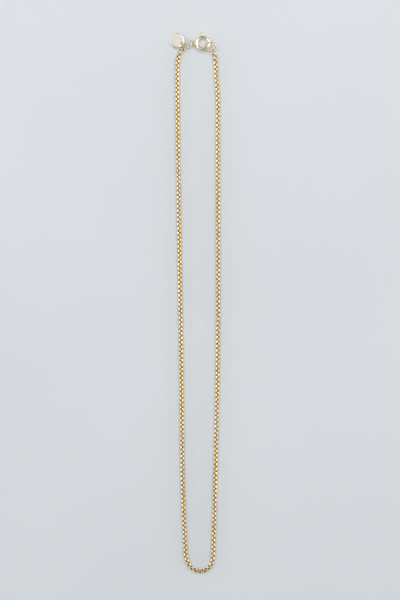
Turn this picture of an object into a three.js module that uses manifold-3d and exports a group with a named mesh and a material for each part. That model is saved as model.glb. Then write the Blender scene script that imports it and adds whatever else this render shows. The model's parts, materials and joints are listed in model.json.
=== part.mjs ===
// Box-chain necklace with a spring ring clasp and a round tag, lying closed on a flat surface.
// Millimetres, +Z up. X runs across the two strands, Y runs from the drop of the loop to the clasp.
import * as THREE from 'three';
import { mergeVertices } from 'three/addons/utils/BufferGeometryUtils.js';
import Module from 'manifold-3d';

const wasm = await Module();
wasm.setup();

// ---- Chain ----
const CHAIN_WIDTH = 1.5; // across the flats of a strand
const CHAIN_GAP = 0.3; // between the ends of neighbouring lengths of chain
const LENGTHS_PER_STRAND = 20;
const FIRST_STATION = -100; // Y of the lowest crossing line
const STATION_STEP = 10.2; // between crossing lines
const LAYING_HEIGHT = CHAIN_WIDTH / 2; // height of a strand's middle above the surface

// Middle of each strand, as X at a given Y, from the drop upward.
const LEFT_STRAND = [
  [-3.95, -103], [-4.45, -92], [-4.9, -81], [-5.3, -60], [-5.5, -40],
  [-6.1, 2], [-6.75, 44], [-7.35, 85.5], [-7.4, 96],
];
const RIGHT_STRAND = [
  [7.65, -103], [8.05, -92], [8.3, -81], [8.8, -60], [9.3, -40],
  [9.65, -19], [9.7, 2], [9.65, 44], [9.6, 65], [9.6, 85.5], [8.85, 96],
];
// The top of each strand, where it bends in toward the clasp.
const LEFT_TOP = [[-7.4, 96], [-7.25, 99.6], [-6.8, 102.6], [-6.03, 104.6]];
const RIGHT_TOP = [[8.85, 96], [8.7, 99.3], [8.5, 102.4]];
// The drop: the foot of the loop, from the left strand round to the right one.
const DROP = [
  [-3.95, -103.2], [-3.7, -106], [-2.75, -109], [-0.9, -111.2], [2, -112.3],
  [4.8, -111.6], [6.7, -109.6], [7.5, -106.6], [7.65, -103.2],
];
const DROP_LENGTHS = 5;

// ---- A single chain link, at the end of each strand ----
const LINK_SIZE = 1.5;
const LINK_WALL = 0.3;
const LINK_WIDTH = 0.76;

// ---- Spring ring clasp, in its own plane: X away from the eyelet, Y toward the trigger ----
const CLASP_CENTRE = [3.45, 107.9, 1.27];
const CLASP_TILT = [-10, -3]; // about X, then about its own Y, degrees
const CLASP_RADIUS = 2.6; // middle of the tube
const TUBE_RADIUS = 0.6;
const BORE_RADIUS = 0.46;
const TUBE_START = 70; // degrees: the tube's mouth on the trigger side of the gap
const TUBE_END = 406; // the mouth on the far side of the gap
const GATE_RADIUS = 0.34;
const GATE_TIP = 42;
const GATE_TAIL = 100;
const TRIGGER_ANGLE = 93.5;
const SLOT_START = 88;
const SLOT_END = 132;
const SLOT_WIDTH = 0.42;
const SLOT_RELIEF = 0.3; // how far the slot's cutter stands out of the tube
const TRIGGER_STEM = 0.14;
const TRIGGER_KNOB = 0.44;
const KNOB_HEIGHT = 0.5;
const KNOB_BEVEL = 0.12;
const TRIGGER_TOP = 4.75; // from the middle of the clasp
const SPRING_START = 103;
const SPRING_END = 160;
const SPRING_TURNS = 9;
const SPRING_COIL = 0.33;
const SPRING_WIRE = 0.07;
const EYELET_RADIUS = 0.83;
const EYELET_WIRE = 0.17;
const SOLDER_GAP = 0.03;

// ---- Rings ----
const JUMP_RING = { centre: [-2.55, 107.5, 1.36], radius: 1.85, wire: 0.25, turn: 20, tilt: 36 };
const END_RING = { centre: [6.55, 106.35, 1.4], radius: 2.05, wire: 0.25, turn: -20, tilt: 34 };
const TAG_RING = { centre: [-4.15, 107.6, 1.43], radius: 1.25, wire: 0.17 };
const CONNECTOR = { radius: 0.98, wire: 0.17 };
const LEFT_CONNECTOR = { centre: [-4.19, 105.94, 0.88], along: [-0.84, -0.55, 0], lean: -35 };
const RIGHT_CONNECTOR = { centre: [7.53, 104.27, 0.72], along: [0.45, -0.89, 0.24], lean: 26 };
const LINK_REACH = 0.48; // from a connector's middle to the bar of the link it holds
const LINK_HEIGHT = 0.92; // a held link stands on its edge, so its middle is higher than the strand's

// ---- Tag ----
const TAG_CENTRE = [-7.3, 109.0];
const TAG_RADIUS = 3.13;
const TAG_THICKNESS = 0.3;
const TAG_HOLE = [-5.36, 107.6];
const TAG_HOLE_RADIUS = 0.48;
const TAG_BEVEL = 0.06;
const TAG_RISE = 7.5; // degrees, up toward the tag ring

const OUTLINE_MIDDLE = [0, -0.21];

const gold = new THREE.MeshStandardMaterial({ color: 0xd9b25a, roughness: 0.25, metalness: 1 });
const paleGold = new THREE.MeshStandardMaterial({ color: 0xe8d3a0, roughness: 0.3, metalness: 1 });
const steel = new THREE.MeshStandardMaterial({ color: 0x9c9c98, roughness: 0.35, metalness: 1 });

const rad = THREE.MathUtils.degToRad;
const vector = (p, z = 0) => new THREE.Vector3(p[0], p[1], p[2] ?? z);
const necklace = new THREE.Group();
const middle = new THREE.Group();
middle.position.set(-OUTLINE_MIDDLE[0], -OUTLINE_MIDDLE[1], 0);
necklace.add(middle);

function addPiece(name, geometry, material, parent = middle) {
  const mesh = new THREE.Mesh(geometry, material);
  mesh.name = name;
  parent.add(mesh);
  return mesh;
}

// A regular polygon whose flats face along its own axes.
function polygon(radius, sides, flat = false) {
  const offset = flat ? Math.PI / sides : 0;
  const points = [];
  for (let i = 0; i < sides; i += 1) {
    const angle = offset + (2 * Math.PI * i) / sides;
    points.push(new THREE.Vector2(radius * Math.cos(angle), radius * Math.sin(angle)));
  }
  return points;
}

function sweep(points, curve, steps) {
  const shape = new THREE.Shape(points);
  return new THREE.ExtrudeGeometry(shape, { steps, extrudePath: curve, curveSegments: 1 });
}

class RingArc extends THREE.Curve {
  constructor(radius, start, end) {
    super();
    this.radius = radius;
    this.start = rad(start);
    this.end = rad(end);
  }

  getPoint(t, target = new THREE.Vector3()) {
    const angle = this.start + (this.end - this.start) * t;
    return target.set(this.radius * Math.cos(angle), this.radius * Math.sin(angle), 0);
  }
}

// A coil wound round an arc of the clasp's tube.
class CoiledArc extends RingArc {
  getPoint(t, target = new THREE.Vector3()) {
    const angle = this.start + (this.end - this.start) * t;
    const turn = 2 * Math.PI * SPRING_TURNS * t;
    const reach = this.radius + SPRING_COIL * Math.cos(turn);
    const height = SPRING_COIL * Math.sin(turn);
    return target.set(reach * Math.cos(angle), reach * Math.sin(angle), height);
  }
}

// ---- Booleans ----
function solidOf(geometry) {
  const bare = geometry.clone();
  bare.deleteAttribute('normal');
  bare.deleteAttribute('uv');
  const merged = mergeVertices(bare, 1e-4);
  return new wasm.Manifold(new wasm.Mesh({
    numProp: 3,
    vertProperties: new Float32Array(merged.attributes.position.array),
    triVerts: new Uint32Array(merged.index.array),
  }));
}

function geometryOf(solid) {
  const mesh = solid.getMesh();
  const geometry = new THREE.BufferGeometry();
  geometry.setAttribute('position', new THREE.BufferAttribute(mesh.vertProperties, 3));
  geometry.setIndex(new THREE.BufferAttribute(mesh.triVerts, 1));
  geometry.computeVertexNormals();
  return geometry;
}

// ---- Chain ----
const STRAND_SECTION = polygon(LAYING_HEIGHT / Math.cos(Math.PI / 8), 8, true);

function strandX(strand, y) {
  const next = Math.max(1, strand.findIndex((point) => point[1] >= y));
  const [from, to] = [strand[next - 1], strand[next]];
  return THREE.MathUtils.lerp(from[0], to[0], (y - from[1]) / (to[1] - from[1]));
}

function addStrand(side, strand, top) {
  for (let i = 0; i < LENGTHS_PER_STRAND; i += 1) {
    const foot = FIRST_STATION + i * STATION_STEP + CHAIN_GAP / 2;
    const head = foot + STATION_STEP - CHAIN_GAP;
    const last = i === LENGTHS_PER_STRAND - 1;
    const start = vector([strandX(strand, foot), foot], LAYING_HEIGHT);
    const route = last
      ? new THREE.CatmullRomCurve3([start, ...top.map((p) => vector(p, LAYING_HEIGHT))])
      : new THREE.LineCurve3(start, vector([strandX(strand, head), head], LAYING_HEIGHT));
    const number = String(i + 1).padStart(2, '0');
    addPiece(`chain_${side}_${number}`, sweep(STRAND_SECTION, route, last ? 6 : 1), gold);
  }
}

// One stretch of a longer curve, so that a drop of several lengths follows one line.
class Stretch extends THREE.Curve {
  constructor(curve, from, to) {
    super();
    this.curve = curve;
    this.from = from;
    this.to = to;
  }

  getPoint(t, target = new THREE.Vector3()) {
    return this.curve.getPointAt(this.from + (this.to - this.from) * t, target);
  }
}

function addDrop() {
  const foot = FIRST_STATION - CHAIN_GAP / 2;
  const ends = [LEFT_STRAND, RIGHT_STRAND].map((strand) => [strandX(strand, foot), foot]);
  const points = [ends[0], ...DROP, ends[1]].map((p) => vector(p, LAYING_HEIGHT));
  const line = new THREE.CatmullRomCurve3(points, false, 'centripetal');
  const gap = CHAIN_GAP / line.getLength();
  const share = (1 + gap) / DROP_LENGTHS;
  for (let i = 0; i < DROP_LENGTHS; i += 1) {
    const stretch = new Stretch(line, i * share, (i + 1) * share - gap);
    addPiece(`chain_drop_${i + 1}`, sweep(STRAND_SECTION, stretch, 6), gold);
  }
}

addStrand('left', LEFT_STRAND, LEFT_TOP);
addStrand('right', RIGHT_STRAND, RIGHT_TOP);
addDrop();

// ---- Rings ----
function addRing(name, { centre, radius, wire, turn = 0, tilt }, parent = middle) {
  const mesh = addPiece(name, new THREE.TorusGeometry(radius, wire, 8, 28), gold, parent);
  mesh.position.set(...centre);
  mesh.rotation.set(rad(tilt), 0, rad(turn), 'ZXY');
  return mesh;
}

addRing('jump_ring', JUMP_RING);
addRing('end_ring', END_RING);
addRing('tag_ring', { ...TAG_RING, tilt: 90 });

// A connector lies along the line from the ring to the chain, leaning about that line.
// The chain's end link hangs on it, with its own opening square to the connector.
function addConnector(side, { centre, along, lean }, chainEnd) {
  const u = vector(along).normalize();
  const level = new THREE.Vector3(0, 0, 1).cross(u).normalize().negate();
  const v = level.applyAxisAngle(u, rad(-lean));
  const ring = addPiece(
    `${side}_connector`, new THREE.TorusGeometry(CONNECTOR.radius, CONNECTOR.wire, 8, 20), gold,
  );
  ring.position.set(...centre);
  ring.quaternion.setFromRotationMatrix(new THREE.Matrix4().makeBasis(u, v, u.clone().cross(v)));

  const bar = vector(centre).addScaledVector(u, LINK_REACH);
  const d = vector(chainEnd, LINK_HEIGHT).sub(bar).normalize();
  const w = v.clone().addScaledVector(d, -v.dot(d)).normalize();
  const link = addPiece(`${side}_end_link`, linkGeometry(), gold);
  link.position.copy(bar).addScaledVector(d, (LINK_SIZE - LINK_WALL) / 2);
  link.quaternion.setFromRotationMatrix(new THREE.Matrix4().makeBasis(d, w.clone().cross(d), w));
}

function linkGeometry() {
  const half = LINK_SIZE / 2;
  const hole = half - LINK_WALL;
  const corner = LINK_WALL;
  const outline = new THREE.Shape()
    .moveTo(-half + corner, -half).lineTo(half - corner, -half)
    .absarc(half - corner, -half + corner, corner, -Math.PI / 2, 0)
    .lineTo(half, half - corner).absarc(half - corner, half - corner, corner, 0, Math.PI / 2)
    .lineTo(-half + corner, half)
    .absarc(-half + corner, half - corner, corner, Math.PI / 2, Math.PI)
    .lineTo(-half, -half + corner)
    .absarc(-half + corner, -half + corner, corner, Math.PI, 1.5 * Math.PI);
  outline.holes.push(new THREE.Path([
    new THREE.Vector2(-hole, -hole), new THREE.Vector2(-hole, hole),
    new THREE.Vector2(hole, hole), new THREE.Vector2(hole, -hole),
  ]));
  const settings = { depth: LINK_WIDTH, bevelEnabled: false, curveSegments: 2 };
  return new THREE.ExtrudeGeometry(outline, settings).translate(0, 0, -LINK_WIDTH / 2);
}

addConnector('left', LEFT_CONNECTOR, LEFT_TOP.at(-1));
addConnector('right', RIGHT_CONNECTOR, RIGHT_TOP.at(-1));

// ---- Clasp ----
const clasp = new THREE.Group();
clasp.position.set(...CLASP_CENTRE);
clasp.rotation.set(rad(CLASP_TILT[0]), rad(CLASP_TILT[1]), 0);
middle.add(clasp);

function addClaspBody() {
  const section = new THREE.Shape(polygon(TUBE_RADIUS, 12));
  section.holes.push(new THREE.Path(polygon(BORE_RADIUS, 12).reverse()));
  const tube = new THREE.ExtrudeGeometry(section, {
    steps: 32, extrudePath: new RingArc(CLASP_RADIUS, TUBE_START, TUBE_END), curveSegments: 1,
  });
  const depth = TUBE_RADIUS + SLOT_RELIEF;
  const slotSection = [
    [0, -SLOT_WIDTH / 2], [depth, -SLOT_WIDTH / 2], [depth, SLOT_WIDTH / 2], [0, SLOT_WIDTH / 2],
  ].map(([x, y]) => new THREE.Vector2(x, y));
  const slot = new THREE.ExtrudeGeometry(new THREE.Shape(slotSection), {
    steps: 6, extrudePath: new OuterArc(SLOT_START, SLOT_END), curveSegments: 1,
  });
  addPiece('clasp_body', geometryOf(solidOf(tube).subtract(solidOf(slot))), paleGold, clasp);
}

// An arc of the clasp's ring whose sections have X outward and Y along the clasp's axis.
class OuterArc extends RingArc {
  constructor(start, end) {
    super(CLASP_RADIUS, start, end);
  }

  computeFrenetFrames(segments) {
    const tangents = [];
    const normals = [];
    const binormals = [];
    for (let i = 0; i <= segments; i += 1) {
      const angle = this.start + ((this.end - this.start) * i) / segments;
      tangents.push(new THREE.Vector3(-Math.sin(angle), Math.cos(angle), 0));
      normals.push(new THREE.Vector3(Math.cos(angle), Math.sin(angle), 0));
      binormals.push(new THREE.Vector3(0, 0, -1));
    }
    return { tangents, normals, binormals };
  }
}

function addTrigger() {
  const foot = CLASP_RADIUS + GATE_RADIUS + SOLDER_GAP;
  const knob = TRIGGER_TOP - KNOB_HEIGHT;
  const profile = [
    [0, foot], [TRIGGER_STEM, foot], [TRIGGER_STEM, knob - KNOB_BEVEL],
    [TRIGGER_KNOB - KNOB_BEVEL, knob], [TRIGGER_KNOB, knob + KNOB_BEVEL],
    [TRIGGER_KNOB, TRIGGER_TOP - KNOB_BEVEL], [TRIGGER_KNOB - KNOB_BEVEL, TRIGGER_TOP],
    [0, TRIGGER_TOP],
  ].map(([x, y]) => new THREE.Vector2(x, y));
  const trigger = addPiece('clasp_trigger', new THREE.LatheGeometry(profile, 14), paleGold, clasp);
  trigger.rotation.z = rad(TRIGGER_ANGLE - 90);
}

addClaspBody();
addPiece('clasp_gate', sweep(
  polygon(GATE_RADIUS, 10), new RingArc(CLASP_RADIUS, GATE_TIP, GATE_TAIL), 8,
), paleGold, clasp);
addTrigger();
addPiece('clasp_spring', sweep(
  polygon(SPRING_WIRE, 5), new CoiledArc(CLASP_RADIUS, SPRING_START, SPRING_END),
  SPRING_TURNS * 10,
), steel, clasp);
const eyelet = addPiece(
  'clasp_eyelet', new THREE.TorusGeometry(EYELET_RADIUS, EYELET_WIRE, 8, 20), paleGold, clasp,
);
eyelet.position.x = -(CLASP_RADIUS + TUBE_RADIUS + SOLDER_GAP + EYELET_RADIUS + EYELET_WIRE);

// ---- Tag ----
function addTag() {
  const disc = new THREE.Shape().absarc(0, 0, TAG_RADIUS - TAG_BEVEL, 0, 2 * Math.PI);
  const reach = Math.hypot(TAG_HOLE[0] - TAG_CENTRE[0], TAG_HOLE[1] - TAG_CENTRE[1]);
  const hole = new THREE.Path(polygon(TAG_HOLE_RADIUS + TAG_BEVEL, 12)
    .map((p) => p.add(new THREE.Vector2(reach, 0))).reverse());
  disc.holes.push(hole);
  const geometry = new THREE.ExtrudeGeometry(disc, {
    depth: TAG_THICKNESS - 2 * TAG_BEVEL, curveSegments: 36,
    bevelThickness: TAG_BEVEL, bevelSize: TAG_BEVEL, bevelSegments: 1,
  });
  geometry.translate(0, 0, TAG_BEVEL);
  const tag = addPiece('tag', geometry, paleGold);
  const heading = Math.atan2(TAG_HOLE[1] - TAG_CENTRE[1], TAG_HOLE[0] - TAG_CENTRE[0]);
  tag.position.set(TAG_CENTRE[0], TAG_CENTRE[1], TAG_RADIUS * Math.sin(rad(TAG_RISE)));
  tag.rotation.set(0, -rad(TAG_RISE), heading, 'ZYX');
}

addTag();

export default necklace;
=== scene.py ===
import json
import math

import bpy
import numpy as np
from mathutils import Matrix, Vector

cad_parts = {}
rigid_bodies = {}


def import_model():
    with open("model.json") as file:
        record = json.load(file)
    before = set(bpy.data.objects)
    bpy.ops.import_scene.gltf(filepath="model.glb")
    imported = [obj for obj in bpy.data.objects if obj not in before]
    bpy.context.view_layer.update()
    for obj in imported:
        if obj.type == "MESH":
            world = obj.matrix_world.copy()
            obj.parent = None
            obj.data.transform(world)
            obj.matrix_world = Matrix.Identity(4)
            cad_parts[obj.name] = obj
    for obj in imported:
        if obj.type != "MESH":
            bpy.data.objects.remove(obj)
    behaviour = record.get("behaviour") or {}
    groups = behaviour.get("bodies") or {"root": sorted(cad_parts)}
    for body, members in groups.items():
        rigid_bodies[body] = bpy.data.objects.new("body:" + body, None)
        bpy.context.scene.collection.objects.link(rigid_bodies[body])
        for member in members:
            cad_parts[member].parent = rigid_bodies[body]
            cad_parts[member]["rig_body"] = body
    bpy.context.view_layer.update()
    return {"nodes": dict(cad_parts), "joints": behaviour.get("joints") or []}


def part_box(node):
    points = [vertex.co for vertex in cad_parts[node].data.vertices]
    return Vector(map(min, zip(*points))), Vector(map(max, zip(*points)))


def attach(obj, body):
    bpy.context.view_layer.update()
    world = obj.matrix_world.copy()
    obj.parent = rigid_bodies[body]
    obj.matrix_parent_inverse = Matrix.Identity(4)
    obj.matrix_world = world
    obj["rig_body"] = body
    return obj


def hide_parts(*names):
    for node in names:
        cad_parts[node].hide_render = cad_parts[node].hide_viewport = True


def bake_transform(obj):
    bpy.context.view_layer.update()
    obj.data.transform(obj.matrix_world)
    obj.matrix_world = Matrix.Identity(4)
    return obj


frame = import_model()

MM = 0.001
JOINTS = {joint["name"]: joint for joint in frame["joints"]}

# ---- Camera: straight above, a little to the right of the necklace's middle ----
VIEW_CENTRE = Vector((2.15, 1.0, 0)) * MM
VIEW_HEIGHT = 250.4 * MM  # of the surface that the frame takes in, along Y
CAMERA_DISTANCE = 0.9
SENSOR = 24.0  # mm, along the frame's long side

# ---- Room, in metres and in radiance ----
ROOM = 0.5  # how bright the room is at the necklace's sides
ROOM_ENDS = 0.33  # and beyond its two ends
SLAB = 16.0  # side of the surface, so that no low view sees its edge
SKY = (0.97, 0.98, 1.0)
PALE_BLUE = (0.96, 0.98, 1.0)

# ---- Chain ----
PITCH = 0.93 * MM  # from one link to the next, aimed at
LINK_LENGTH = 1.31 * MM
LINK_SIZE = 1.46 * MM  # across
CORNER = 0.38 * MM  # radius of the link's outer corners
CROWN = 0.02 * MM  # how far the middle of each side stands out
STRIP_WIDTH = 0.86 * MM
END_THICKNESS = 0.19 * MM  # of the strip where two links hook
SIDE_THICKNESS = 0.29 * MM
CHAIN_HEIGHT = 0.79 * MM  # of the chain's middle above the surface
UPRIGHT = Vector((0, 0, 1))
LYING_ROLL = math.radians(45)  # the chain lies on two of its corners
DROP_ROLL = math.radians(36)
DROP_REACH = 7 * MM  # above the drop, along Y, over which the roll changes
HELD_LINKS = 4  # at each end, rolling over from the way the end link hangs
LINE_STEP = 0.15 * MM  # between points of the chain's middle line
TWIST_Y = -7.6 * MM  # where the right strand rolls over from one pair of corners to the next
TWIST_REACH = 4.5 * MM

# The chain's way in past each top station, and round the drop, millimetres.
ROW_SHIFT = Vector((0, 0.21, 0))
LEFT_TOP = [(-7.4, 96), (-7.25, 99.6), (-6.8, 102.6)]
RIGHT_TOP = [(8.85, 96), (8.7, 99.3)]
DROP = [
    (-3.95, -103.2), (-3.7, -106), (-2.75, -109), (-0.9, -111.2), (2, -112.3),
    (4.8, -111.6), (6.7, -109.6), (7.5, -106.6), (7.65, -103.2),
]

# ---- Clasp, in its own plane: u away from the eyelet, v toward the trigger ----
CLASP_RADIUS = 2.6 * MM
TUBE_RADIUS = 0.6 * MM
BORE_RADIUS = 0.46 * MM
TUBE_START = math.radians(70)
TUBE_END = math.radians(406)
SLOT_START = math.radians(88)
SLOT_END = math.radians(132)
SLOT_HALF = math.radians(20)  # half the slot's width, round the tube
GATE_RADIUS = 0.33 * MM
GATE_TIP = math.radians(42)
GATE_TAIL = math.radians(100)
TRIGGER_ANGLE = math.radians(93.5)
TRIGGER_TOP = 4.75 * MM
SPRING_START = math.radians(103)
SPRING_END = math.radians(160)
SPRING_TURNS = 9
WIRE_SHARE = 0.9  # the frame's wires are eight-sided, so round ones are a little slimmer

# ---- Tag ----
TAG_HOLE_REACH = 2.392 * MM  # from the tag's middle to its hole's
TAG_HOLE_RADIUS = 0.48 * MM
TAG_EDGE = 0.07 * MM  # radius of its rounded edges
TAG_RIM = 0.34 * MM  # width of the raised edge
TAG_SLOPE = 0.14 * MM  # from the raised edge down to the face
TAG_DISH = 0.05 * MM  # how far the face lies below the edge


# ---------------------------------------------------------------- materials
class Nodes:
    """A short way to build one material's node tree."""

    def __init__(self, name):
        self.material = bpy.data.materials.new(name)
        self.material.use_nodes = True
        self.tree = self.material.node_tree
        self.shader = self.tree.nodes["Principled BSDF"]

    def add(self, kind, **inputs):
        node = self.tree.nodes.new(kind)
        for socket, value in inputs.items():
            node.inputs[socket.replace("_", " ")].default_value = value
        return node

    def link(self, source, target):
        self.tree.links.new(source, target)

    def noise(self, scale, detail=3.0, roughness=0.5):
        coordinates = self.tree.nodes.get("Places") or self.add("ShaderNodeTexCoord")
        coordinates.name = "Places"
        node = self.add("ShaderNodeTexNoise", Scale=scale, Detail=detail, Roughness=roughness)
        self.link(coordinates.outputs["Object"], node.inputs["Vector"])
        return node.outputs["Fac"]

    def ramp(self, source, stops):
        node = self.add("ShaderNodeValToRGB")
        elements = node.color_ramp.elements
        while len(elements) < len(stops):
            elements.new(0.5)
        for element, (place, colour) in zip(elements, stops):
            element.position = place
            element.color = (*colour, 1)
        self.link(source, node.inputs["Fac"])
        return node.outputs["Color"]

    def spread(self, source, low, high):
        node = self.add("ShaderNodeMapRange", To_Min=low, To_Max=high)
        self.link(source, node.inputs["Value"])
        return node.outputs["Result"]

    def mix(self, share, first, second):
        node = self.add("ShaderNodeMix")
        node.data_type = "RGBA"
        self.link(share, node.inputs["Factor"])
        for socket, value in (("A", first), ("B", second)):
            target = next(i for i in node.inputs if i.name == socket and i.type == "RGBA")
            if isinstance(value, tuple):
                target.default_value = (*value, 1)
            else:
                self.link(value, target)
        return next(o for o in node.outputs if o.type == "RGBA")

    def bump(self, source, distance, strength=1.0):
        node = self.add("ShaderNodeBump", Strength=strength, Distance=distance)
        self.link(source, node.inputs["Height"])
        self.link(node.outputs["Normal"], self.shader.inputs["Normal"])

    def set(self, socket, source):
        self.link(source, self.shader.inputs[socket])


def metal(name, light, dark, painted_shade, rough, grain, bump):
    """Polished metal whose colour and shine drift a little, darkened in its recesses by painted
    shade mixed into its colour.
    """
    m = Nodes(name)
    m.shader.inputs["Metallic"].default_value = 1.0
    cloud = m.noise(420.0, detail=4.0)
    colour = m.ramp(cloud, [(0.35, dark), (0.65, light)])
    # painted shade: a per-point share from the mesh mixes the base colour toward the dark shade
    # colour
    inside = m.add("ShaderNodeAttribute")
    inside.attribute_name = "painted_shade"
    m.set("Base Color", m.mix(inside.outputs["Fac"], colour, painted_shade))
    m.set("Roughness", m.spread(m.noise(900.0, detail=5.0, roughness=0.65), *rough))
    m.bump(m.noise(grain, detail=2.0), bump)
    return m.material


def stage_material():
    m = Nodes("pale_slab")
    m.shader.inputs["Roughness"].default_value = 0.75
    m.shader.inputs["Specular IOR Level"].default_value = 0.25
    m.set("Base Color", m.ramp(m.noise(9.0, detail=5.0), [
        (0.3, (0.82, 0.85, 0.87)), (0.7, (0.86, 0.885, 0.905)),
    ]))
    return m.material


# The third colour of each metal is painted shade, laid into its recesses by the mesh's per-point
# share.
CHAIN_GOLD = metal(
    "chain_gold", (0.96, 0.85, 0.58), (0.91, 0.73, 0.37), (0.37, 0.15, 0.001),
    (0.14, 0.3), 5200.0, 0.004 * MM,
)
CLASP_GOLD = metal(
    "clasp_gold", (0.99, 0.92, 0.71), (0.97, 0.85, 0.56), (0.3, 0.14, 0.01),
    (0.12, 0.26), 4200.0, 0.004 * MM,
)
TAG_GOLD = metal(
    "tag_gold", (0.79, 0.735, 0.645), (0.745, 0.69, 0.59), (0.3, 0.18, 0.06),
    (0.2, 0.3), 3600.0, 0.006 * MM,
)
SPRING_STEEL = metal(
    "spring_steel", (0.6, 0.6, 0.58), (0.46, 0.46, 0.45), (0.1, 0.1, 0.1),
    (0.3, 0.45), 6000.0, 0.003 * MM,
)


# ---------------------------------------------------------------- meshes
def make_piece(name, points, faces, material, slot, painted_shade=None):
    """One smooth mesh piece; its per-point share, from 0 for none to 1 for full, says how much
    painted shade darkens each point, by how far inside it lies.
    """
    mesh = bpy.data.meshes.new(name)
    mesh.from_pydata(points, [], faces)
    mesh.polygons.foreach_set("use_smooth", [True] * len(mesh.polygons))
    shade = mesh.attributes.new("painted_shade", "FLOAT", "POINT")
    shade.data.foreach_set("value", np.zeros(len(points)) if painted_shade is None else painted_shade)
    mesh.update()
    piece = bpy.data.objects.new(name, mesh)
    bpy.context.scene.collection.objects.link(piece)
    mesh.materials.append(material)
    return piece


def grid_faces(rows, columns, closed_rows=False, closed_columns=True):
    """Quads of a grid of points, stored row by row."""
    faces = []
    for i in range(rows if closed_rows else rows - 1):
        for j in range(columns if closed_columns else columns - 1):
            k = (i + 1) % rows
            n = (j + 1) % columns
            faces.append((i * columns + j, k * columns + j, k * columns + n, i * columns + n))
    return faces


def lofted(rings):
    """A closed body through rings of points, capped at both ends."""
    columns = len(rings[0])
    points = [p for ring in rings for p in ring]
    faces = grid_faces(len(rings), columns)
    faces.append(tuple(range(columns)))
    faces.append(tuple(reversed(range((len(rings) - 1) * columns, len(rings) * columns))))
    return points, faces


def plane_of(node):
    """Middle of a flat node and its three axes, the last one square to it."""
    points = np.array([v.co for v in frame["nodes"][node].data.vertices])
    low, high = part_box(node)
    middle = (Vector(low) + Vector(high)) / 2
    _, _, axes = np.linalg.svd(points - points.mean(0), full_matrices=False)
    return middle, [Vector(a) for a in axes]


def outward(node):
    """The axis along which a link's longest flat side faces, square to its opening."""
    _, axes = plane_of(node)
    flat = [
        f for f in frame["nodes"][node].data.polygons if abs(f.normal.dot(axes[2])) < 0.1
    ]
    return max(flat, key=lambda f: f.area).normal.copy()


# ---------------------------------------------------------------- chain
def smooth_line(points, step):
    """Points a small step apart along a Catmull-Rom curve through the given ones."""
    points = [2 * points[0] - points[1], *points, 2 * points[-1] - points[-2]]
    line = []
    for a, b, c, d in zip(points, points[1:], points[2:], points[3:]):
        count = max(2, round((c - b).length / step))
        for i in range(count):
            t = i / count
            line.append(0.5 * (
                2 * b + (c - a) * t + (2 * a - 5 * b + 4 * c - d) * t * t
                + (3 * b - a - 3 * c + d) * t ** 3
            ))
    line.append(points[-2])
    return line


def station(side, number):
    """Where a strand crosses one of the lines about which the chain flexes."""
    x, y, _ = JOINTS[f"{side}_flex_{number:02d}"]["pos_m"]
    return Vector((x, y, CHAIN_HEIGHT))


def laid(points):
    """Given points, in metres at the chain's height."""
    return [((Vector((*p, 0)) + ROW_SHIFT) * MM) + UPRIGHT * CHAIN_HEIGHT for p in points]


def end_link(side):
    """Middle, way along the chain and strip axis of the last link, as the frame holds it."""
    middle, axes = plane_of(f"{side}_end_link")
    strip = axes[2]
    along = outward(f"{side}_end_link")
    ring, _ = plane_of(f"{side}_connector")
    candidates = [along, along.cross(strip)]
    along = max(candidates, key=lambda a: abs(a.dot(middle - ring))).normalized()
    if along.dot(middle - ring) < 0:
        along.negate()
    return middle, along, strip


def chain_line():
    """The whole chain's middle line, from the left end link round to the right one."""
    left, left_along, _ = end_link("left")
    right, right_along, _ = end_link("right")
    stations = range(1, 21)
    points = [left, left + left_along * PITCH]
    points += reversed(laid(LEFT_TOP))
    points += [station("left", i) for i in reversed(stations)]
    points += laid(DROP)
    points += [station("right", i) for i in stations]
    points += laid(RIGHT_TOP)
    points += [right + right_along * PITCH, right]
    return smooth_line(points, LINE_STEP)


def smooth(share):
    """An eased step from 0 to 1."""
    share = min(1.0, max(0.0, share))
    return share * share * (3 - 2 * share)


def roll_at(place, low):
    """How far the chain is rolled about its own line: on its corners, flatter in the drop."""
    drift = math.radians(3) * math.sin(place.y / (17 * MM))
    drift += math.radians(2) * math.sin(place.y / (6.1 * MM) + 1.0)
    roll = LYING_ROLL + drift
    roll += (DROP_ROLL - LYING_ROLL) * smooth(1 - (place.y - low) / DROP_REACH)
    if place.x > 0:
        roll -= math.radians(90) * smooth((place.y - TWIST_Y) / (2 * TWIST_REACH) + 0.5)
    return roll


def blend_angle(first, second, share):
    """Between two roll angles, the short way, where half a turn looks the same."""
    gap = (second - first + math.pi / 2) % math.pi - math.pi / 2
    return first + gap * share


def link_places():
    """Each link's middle, way along and strip axis, evenly spaced along the line."""
    line = chain_line()
    lengths = np.array([0] + [(b - a).length for a, b in zip(line, line[1:])]).cumsum()
    count = round(lengths[-1] / PITCH) + 1
    coordinates = np.array([tuple(p) for p in line])

    def at(distance):
        return Vector([np.interp(distance, lengths, coordinates[:, k]) for k in range(3)])

    ends = [end_link("left"), end_link("right")]
    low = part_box("chain_drop_3")[0][1]
    places = []
    for i in range(count):
        distance = lengths[-1] * i / (count - 1)
        middle = at(distance)
        way = (at(distance + PITCH / 2) - at(distance - PITCH / 2)).normalized()
        side = way.cross(UPRIGHT).normalized()
        up = side.cross(way)
        roll = roll_at(middle, low)
        turned = roll + (math.pi / 2 if i % 2 else 0)
        for end, (_, _, strip) in zip((i, count - 1 - i), ends):
            if end < HELD_LINKS:
                held = math.atan2(strip.dot(up), strip.dot(side)) + (math.pi / 2) * (end % 2)
                turned = blend_angle(held, turned, end / HELD_LINKS)
        strip = side * math.cos(turned) + up * math.sin(turned)
        places.append((middle, way, strip))
    places[0] = (ends[0][0], -ends[0][1], ends[0][2])
    places[-1] = (ends[1][0], ends[1][1], ends[1][2])
    return places


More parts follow.
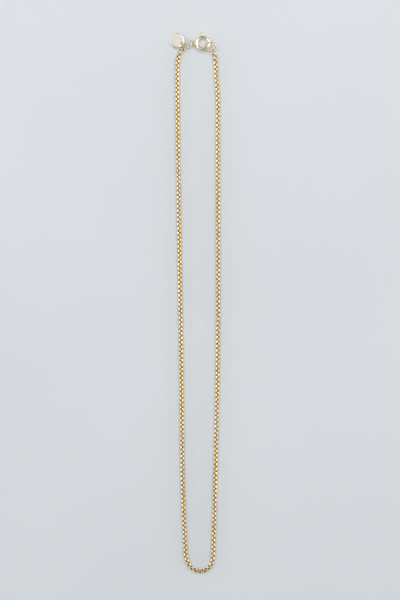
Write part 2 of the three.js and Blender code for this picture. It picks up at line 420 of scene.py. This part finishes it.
def strip_section():
    """Round the strip: share of its depth in from the outer face, and place across its width."""
    half = [(0.0, 0.42), (0.1, 0.84), (0.42, 1.0), (0.85, 0.96), (1.0, 0.7)]
    both = half + [(depth, -across) for depth, across in reversed(half)]
    return [(depth, across * STRIP_WIDTH / 2) for depth, across in both]


def link_outline():
    """Points round a box link's outer face, each with the way it faces."""
    outline = []
    for quarter in range(4):
        turn = quarter * math.pi / 2
        sx, sy = [(1, 1), (-1, 1), (-1, -1), (1, -1)][quarter]
        centre = Vector((sx * (LINK_LENGTH / 2 - CORNER), sy * (LINK_SIZE / 2 - CORNER)))
        for k in range(4):
            angle = turn + math.pi / 2 * k / 3
            facing = Vector((math.cos(angle), math.sin(angle)))
            outline.append((centre + CORNER * facing, facing))
        facing = Vector((math.cos(turn + math.pi / 2), math.sin(turn + math.pi / 2)))
        reach = (LINK_SIZE if quarter % 2 == 0 else LINK_LENGTH) / 2 + CROWN
        outline.append((facing * reach, facing))
    return outline


def link_shape():
    """One box link: a strip bent round a square, its outer faces a little crowned."""
    section = strip_section()
    outline = link_outline()
    points, painted_shade = [], []
    for place, facing in outline:
        thickness = END_THICKNESS * facing.x ** 2 + SIDE_THICKNESS * facing.y ** 2
        for depth, across in section:
            spot = place - facing * thickness * depth
            points.append((spot.x, spot.y, across))
            # painted shade on the strip's inner part, from none at 30% of its depth to full at
            # its inner face
            painted_shade.append(max(0.0, depth - 0.3) / 0.7)
    faces = grid_faces(len(outline), len(section), closed_rows=True)
    return np.array(points), np.array(faces), np.array(painted_shade)


def chain_piece(name, places, shape):
    """A run of links as one piece."""
    points, faces, painted_shade = shape
    runs = []
    for middle, way, strip in places:
        across = strip.cross(way).normalized()
        runs.append(points @ np.array([way, across, way.cross(across)]) + np.array(middle))
    firsts = np.arange(len(places))[:, None, None] * len(points)
    return make_piece(
        name, np.concatenate(runs), (faces + firsts).reshape(-1, 4), CHAIN_GOLD, "chain_gold",
        np.tile(painted_shade, len(places)),
    )


def make_chain():
    """Every link, in runs split at the lines about which the frame flexes, and round the drop by
    its parts.
    """
    shape = link_shape()
    levels = [JOINTS[f"left_flex_{i:02d}"]["pos_m"][1] for i in range(1, 21)]
    step = levels[1] - levels[0]
    drops = [plane_of(f"chain_drop_{k}")[0] for k in range(1, 6)]
    runs = {}
    for place in link_places():
        middle = place[0]
        side = "left" if middle.x < VIEW_CENTRE.x else "right"
        number = math.floor((middle.y - levels[0]) / step + 1.5)
        if number < 1:
            nearest = min(range(5), key=lambda k: (middle - drops[k]).length)
            runs.setdefault(("drop", nearest + 1), []).append(place)
        else:
            runs.setdefault((side, min(number, 21)), []).append(place)
    for (side, number), run in runs.items():
        piece = chain_piece(f"links_{side}_{number:02d}", run, shape)
        attach_run(piece, side, number)


def attach_run(piece, side, number):
    """A run rides the drop or the last body; any other run stays fixed where it lies."""
    if side == "drop":
        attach(piece, "drop")
        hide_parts(f"chain_drop_{number}")
        return
    if number == 21:
        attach(piece, f"{side}_20")
        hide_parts(f"{side}_end_link")
        return
    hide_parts(f"chain_{side}_{number:02d}")
    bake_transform(piece)


# ---------------------------------------------------------------- rings
def basis_of(node):
    """Middle of a ring node, two directions in its plane, and its axis."""
    middle, axes = plane_of(node)
    axis = axes[2]
    u = axis.orthogonal().normalized()
    return middle, u, axis.cross(u), axis


def torus(middle, u, v, axis, radius, wire, seam=None, rows=72, columns=20):
    """A wire ring, with a fine cut line across the wire where it was closed."""
    points = []
    for i in range(rows):
        angle = 2 * math.pi * i / rows
        thickness = wire
        if seam is not None:
            away = abs((angle - seam + math.pi) % (2 * math.pi) - math.pi)
            thickness *= 1 - 0.16 * max(0.0, 1 - away / (2 * math.pi / rows))
        reach = u * math.cos(angle) + v * math.sin(angle)
        for j in range(columns):
            turn = 2 * math.pi * j / columns
            points.append(
                middle + reach * (radius + thickness * math.cos(turn))
                + axis * thickness * math.sin(turn)
            )
    return points, grid_faces(rows, columns, closed_rows=True)


def ring_sizes(node):
    """Radius of a ring node's middle line, and of its wire."""
    middle, _, _, axis = basis_of(node)
    reach, height = 0, 0
    for vertex in frame["nodes"][node].data.vertices:
        away = vertex.co - middle
        along = away.dot(axis)
        height = max(height, abs(along))
        reach = max(reach, (away - axis * along).length)
    return reach - height, height


def make_ring(node, slot, material, seam=None):
    """A round wire ring in place of the frame's eight-sided one."""
    middle, u, v, axis = basis_of(node)
    radius, wire = ring_sizes(node)
    points, faces = torus(middle, u, v, axis, radius, wire * WIRE_SHARE, seam)
    piece = make_piece(f"{node}_wire", points, faces, material, slot)
    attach(piece, frame["nodes"][node]["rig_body"])
    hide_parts(node)
    return piece


# ---------------------------------------------------------------- clasp
def clasp_basis():
    """Middle of the clasp's ring, and its own three axes."""
    joint = JOINTS["trigger_slide"]
    middle = Vector(joint["pos_m"])
    axis = Vector(joint["axis"]).normalized()
    eyelet, _ = plane_of("clasp_eyelet")
    u = middle - eyelet
    u = (u - axis * u.dot(axis)).normalized()
    return middle, u, axis.cross(u), axis


CLASP_BASIS = clasp_basis()


def on_ring(angle, turn, radius):
    """A point round the clasp's tube: angle along the ring, turn about the tube."""
    middle, u, v, axis = CLASP_BASIS
    reach = u * math.cos(angle) + v * math.sin(angle)
    away = CLASP_RADIUS + radius * math.cos(turn)
    return middle + reach * away + axis * radius * math.sin(turn)


def make_clasp_body():
    """The ring of tube, bored through, open at the gap and slotted along its outside for the
    trigger; painted shade darkens its whole bore.
    """
    turns = 28
    rows = [TUBE_START + (TUBE_END - TUBE_START) * i / 96 for i in range(97)]
    rows = sorted(rows + [SLOT_START, SLOT_END, TUBE_START + 0.02, TUBE_END - 0.02])
    lip = 0.035 * MM
    points, faces = [], []
    slot_columns = [j for j in range(turns) if abs(tube_turn(j, turns)) < SLOT_HALF]
    for angle in rows:
        mouth = angle in (rows[0], rows[-1])
        for shell, radius in ((0, TUBE_RADIUS), (1, BORE_RADIUS)):
            trim = lip if mouth else 0
            size = radius + (trim if shell else -trim)
            points += [on_ring(angle, tube_turn(j, turns, True), size) for j in range(turns)]
    stride = 2 * turns

    def point(row, shell, column):
        return row * stride + shell * turns + column % turns

    def cut(row, column):
        inside = rows[row] >= SLOT_START - 1e-6 and rows[row + 1] <= SLOT_END + 1e-6
        return inside and column in slot_columns

    last = len(rows) - 1
    for row in range(last):
        for column in range(turns):
            if cut(row, column):
                continue
            faces.append((point(row, 0, column), point(row + 1, 0, column),
                          point(row + 1, 0, column + 1), point(row, 0, column + 1)))
            faces.append((point(row, 1, column + 1), point(row + 1, 1, column + 1),
                          point(row + 1, 1, column), point(row, 1, column)))
            for step in (-1, 1):
                beside = (column + step) % turns
                if cut(row, beside):
                    edge = column + (1 if step == 1 else 0)
                    wall = (point(row, 0, edge), point(row + 1, 0, edge),
                            point(row + 1, 1, edge), point(row, 1, edge))
                    faces.append(wall if step == 1 else wall[::-1])
    for column in range(turns):
        for row in (0, last):
            wall = (point(row, 0, column), point(row, 0, column + 1),
                    point(row, 1, column + 1), point(row, 1, column))
            faces.append(wall if row == 0 else wall[::-1])
        if column in slot_columns:
            for row, reverse in ((rows.index(SLOT_START), True), (rows.index(SLOT_END), False)):
                wall = (point(row, 0, column), point(row, 0, column + 1),
                        point(row, 1, column + 1), point(row, 1, column))
                faces.append(wall[::-1] if reverse else wall)
    # painted shade: none on the outer shell, full over the bore
    painted_shade = ([0.0] * turns + [1.0] * turns) * len(rows)
    piece = make_piece("clasp_ring", points, faces, CLASP_GOLD, "clasp_gold", painted_shade)
    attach(piece, "clasp")
    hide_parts("clasp_body")
    return piece


def tube_turn(column, turns, corner=False):
    """Angle round the tube of a column's middle, or of its first corner."""
    turn = 2 * math.pi * (column + (0 if corner else 0.5)) / turns
    return (turn + math.pi) % (2 * math.pi) - math.pi


def make_gate():
    """The wire that closes the gap, round at its tip."""
    rings = []
    columns = 18
    tip = 0.1
    for i in range(30):
        share = i / 29
        angle = GATE_TIP + (GATE_TAIL - GATE_TIP) * share
        radius = GATE_RADIUS * min(1.0, math.sqrt(min(1.0, share / tip + 0.12)))
        rings.append([on_ring(angle, 2 * math.pi * j / columns, radius) for j in range(columns)])
    piece = make_piece("gate_wire", *lofted(rings), CLASP_GOLD, "clasp_gold")
    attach(piece, "gate")
    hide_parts("clasp_gate")


def make_trigger():
    """The pin that stands out through the slot, with its rounded knob."""
    middle, u, v, axis = CLASP_BASIS
    out = u * math.cos(TRIGGER_ANGLE) + v * math.sin(TRIGGER_ANGLE)
    side = axis.cross(out)
    foot = CLASP_RADIUS + GATE_RADIUS * 0.93
    stem, knob = 0.14 * MM, 0.43 * MM
    profile = [
        (foot, stem * 0.9), (foot + 0.12 * MM, stem), (TRIGGER_TOP - 0.75 * MM, stem),
        (TRIGGER_TOP - 0.6 * MM, stem * 1.3), (TRIGGER_TOP - 0.5 * MM, knob * 0.72),
        (TRIGGER_TOP - 0.42 * MM, knob * 0.95), (TRIGGER_TOP - 0.3 * MM, knob),
        (TRIGGER_TOP - 0.14 * MM, knob * 0.97), (TRIGGER_TOP - 0.05 * MM, knob * 0.8),
        (TRIGGER_TOP, knob * 0.45),
    ]
    columns = 24
    rings = []
    for height, radius in profile:
        turns = [2 * math.pi * j / columns for j in range(columns)]
        rings.append([
            middle + out * height + side * radius * math.cos(t) + axis * radius * math.sin(t)
            for t in turns
        ])
    piece = make_piece("trigger_pin", *lofted(rings), CLASP_GOLD, "clasp_gold")
    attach(piece, "gate")
    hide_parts("clasp_trigger")


def make_spring():
    """The coil behind the gate, built at rest and left in place when the gate slides back."""
    coil, wire = 0.33 * MM, 0.07 * MM
    steps, columns = SPRING_TURNS * 20, 8
    line = []
    for i in range(steps + 1):
        share = i / steps
        angle = SPRING_START + (SPRING_END - SPRING_START) * share
        line.append(on_ring(angle, 2 * math.pi * SPRING_TURNS * share, coil))
    rings = []
    for i, place in enumerate(line):
        way = (line[min(i + 1, steps)] - line[max(i - 1, 0)]).normalized()
        core = on_ring(SPRING_START + (SPRING_END - SPRING_START) * i / steps, 0, 0)
        out = (place - core).normalized()
        other = way.cross(out).normalized()
        rings.append([
            place + out * wire * math.cos(t) + other * wire * math.sin(t)
            for t in (2 * math.pi * j / columns for j in range(columns))
        ])
    piece = make_piece("spring_coil", *lofted(rings), SPRING_STEEL, "spring_steel")
    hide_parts("clasp_spring")
    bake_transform(piece)


def make_solder():
    """The bead of solder between the eyelet and the clasp's ring."""
    middle, u, v, axis = CLASP_BASIS
    centre = middle - u * (CLASP_RADIUS + TUBE_RADIUS + 0.02 * MM)
    rings = []
    columns = 16
    for i in range(9):
        share = i / 8
        along = (share - 0.5) * 0.34 * MM
        flare = 0.12 + 0.12 * (2 * share - 1) ** 2
        size = flare * MM * (0.55 if i in (0, 8) else 1)
        rings.append([
            centre + u * along + v * size * 1.3 * math.cos(t) + axis * size * 0.7 * math.sin(t)
            for t in (2 * math.pi * j / columns for j in range(columns))
        ])
    piece = make_piece("eyelet_solder", *lofted(rings), CLASP_GOLD, "clasp_gold")
    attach(piece, "clasp")


def make_clasp():
    make_clasp_body()
    make_gate()
    make_trigger()
    make_spring()
    make_ring("clasp_eyelet", "clasp_gold", CLASP_GOLD)
    make_solder()


# ---------------------------------------------------------------- tag
def make_tag():
    """A round tag with a raised edge and a hole, a little dished inside the edge."""
    axis = Vector(JOINTS["tag_turn"]["axis"]).normalized()
    points = [v.co for v in frame["nodes"]["tag"].data.vertices]
    u = axis.orthogonal().normalized()
    v = axis.cross(u)
    spans = [(min(p.dot(d) for p in points), max(p.dot(d) for p in points)) for d in (u, v, axis)]
    middle = sum((d * (s[0] + s[1]) / 2 for d, s in zip((u, v, axis), spans)), Vector())
    radius = (spans[0][1] - spans[0][0]) / 2
    half = (spans[2][1] - spans[2][0]) / 2
    toward = Vector(JOINTS["tag_turn"]["pos_m"]) - middle
    hole = middle + (toward - axis * toward.dot(axis)).normalized() * TAG_HOLE_REACH
    columns, rows = 96, 22
    rings = []
    for face in (1, -1):
        for i in range(rows):
            share = i / (rows - 1) if face == 1 else 1 - i / (rows - 1)
            rings.append([
                tag_point(middle, u, v, axis, hole, radius, half, face, share, j / columns)
                for j in range(columns)
            ])
    points = [p for ring in rings for p in ring]
    faces = grid_faces(len(rings), columns, closed_rows=True)
    piece = make_piece("tag_disc", points, faces, TAG_GOLD, "tag_gold")
    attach(piece, "tag")
    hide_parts("tag")


def tag_point(middle, u, v, axis, hole, radius, half, face, share, part):
    """A point between the hole's edge, at share 0, and the tag's edge, at share 1."""
    angle = 2 * math.pi * part
    way = u * math.cos(angle) + v * math.sin(angle)
    inner = hole + way * TAG_HOLE_RADIUS
    outer = middle + way * radius
    place = inner.lerp(outer, share)
    from_edge = radius - (place - middle).length
    from_hole = (place - hole).length - TAG_HOLE_RADIUS
    height = half
    for distance in (from_edge, from_hole):
        if distance < TAG_EDGE:
            drop = 1 - max(0.0, distance) / TAG_EDGE
            height -= TAG_EDGE * (1 - math.sqrt(max(0.0, 1 - drop * drop)))
    height -= TAG_DISH * smooth((from_edge - TAG_RIM) / TAG_SLOPE)
    return place + axis * face * height


# ---------------------------------------------------------------- surroundings
def make_stage():
    bpy.ops.mesh.primitive_plane_add(size=SLAB, location=(VIEW_CENTRE.x, VIEW_CENTRE.y, 0))
    slab = bpy.context.object
    slab.name = "slab"
    slab.data.materials.append(stage_material())


def add_panel(name, place, size, radiance, aim=None, spill=1.0):
    """A softbox as bright as radiance, facing down or at aim; spill is its share on the slab."""
    light = bpy.data.lights.new(name, "AREA")
    light.shape = "RECTANGLE"
    light.size, light.size_y = size
    light.energy = radiance * math.pi * size[0] * size[1]
    light.color = SKY
    light.diffuse_factor = spill
    lamp = bpy.data.objects.new(name, light)
    bpy.context.scene.collection.objects.link(lamp)
    lamp.location = place
    if aim is not None:
        lamp.rotation_euler = (aim - Vector(place)).to_track_quat("-Z", "Y").to_euler()


def make_world():
    """A pale room, dim beyond the two ends of the necklace and in a band straight above it."""
    world = bpy.data.worlds.new("studio")
    bpy.context.scene.world = world
    world.use_nodes = True
    tree = world.node_tree
    background = tree.nodes["Background"]
    background.inputs["Color"].default_value = (*PALE_BLUE, 1)
    places = tree.nodes.new("ShaderNodeTexCoord")
    parts = tree.nodes.new("ShaderNodeSeparateXYZ")
    product = tree.nodes.new("ShaderNodeMath")
    product.operation = "MULTIPLY"
    tree.links.new(places.outputs["Generated"], parts.inputs["Vector"])
    for socket, (axis, start, end, low, high) in enumerate((
        ("X", 0.05, 0.2, ROOM_ENDS, ROOM), ("Y", 0.3, 0.85, 1.0, ROOM_ENDS),
    )):
        away = tree.nodes.new("ShaderNodeMath")
        away.operation = "ABSOLUTE"
        turn = tree.nodes.new("ShaderNodeMapRange")
        turn.interpolation_type = "SMOOTHSTEP"
        turn.inputs["From Min"].default_value = start
        turn.inputs["From Max"].default_value = end
        turn.inputs["To Min"].default_value = low
        turn.inputs["To Max"].default_value = high
        tree.links.new(parts.outputs[axis], away.inputs[0])
        tree.links.new(away.outputs["Value"], turn.inputs["Value"])
        tree.links.new(turn.outputs["Result"], product.inputs[socket])
    tree.links.new(product.outputs["Value"], background.inputs["Strength"])


def make_lights():
    """Dim panels overhead, bright ones to both sides, and tall far ones low on both sides."""
    make_world()
    for side in (-1, 1):
        add_panel(f"canopy_{side}", (side * 0.25, 0.15, 1.0), (0.3, 1.0), 0.4)
        add_panel(f"ceiling_{side}", (side * 0.68, 0.62, 1.0), (0.56, 1.0), 3.05)
        add_panel(f"window_{side}", (side * 6.0, 0.75, 1.0), (9.8, 2.0), 2.1, Vector(), 0.2)


def make_camera():
    lens = bpy.data.cameras.new("camera")
    lens.sensor_width = SENSOR
    lens.lens = SENSOR * CAMERA_DISTANCE / VIEW_HEIGHT
    lens.clip_start = 0.01
    camera = bpy.data.objects.new("camera", lens)
    bpy.context.scene.collection.objects.link(camera)
    camera.location = VIEW_CENTRE + UPRIGHT * CAMERA_DISTANCE
    bpy.context.scene.camera = camera
    bpy.context.scene.view_settings.view_transform = "Standard"


make_camera()
make_chain()
for ring_node, ring_seam in (
    ("jump_ring", 0.6), ("end_ring", 2.2), ("tag_ring", 4.0),
    ("left_connector", None), ("right_connector", None),
):
    make_ring(ring_node, "chain_gold", CHAIN_GOLD, ring_seam)
make_clasp()
make_tag()
make_stage()
make_lights()
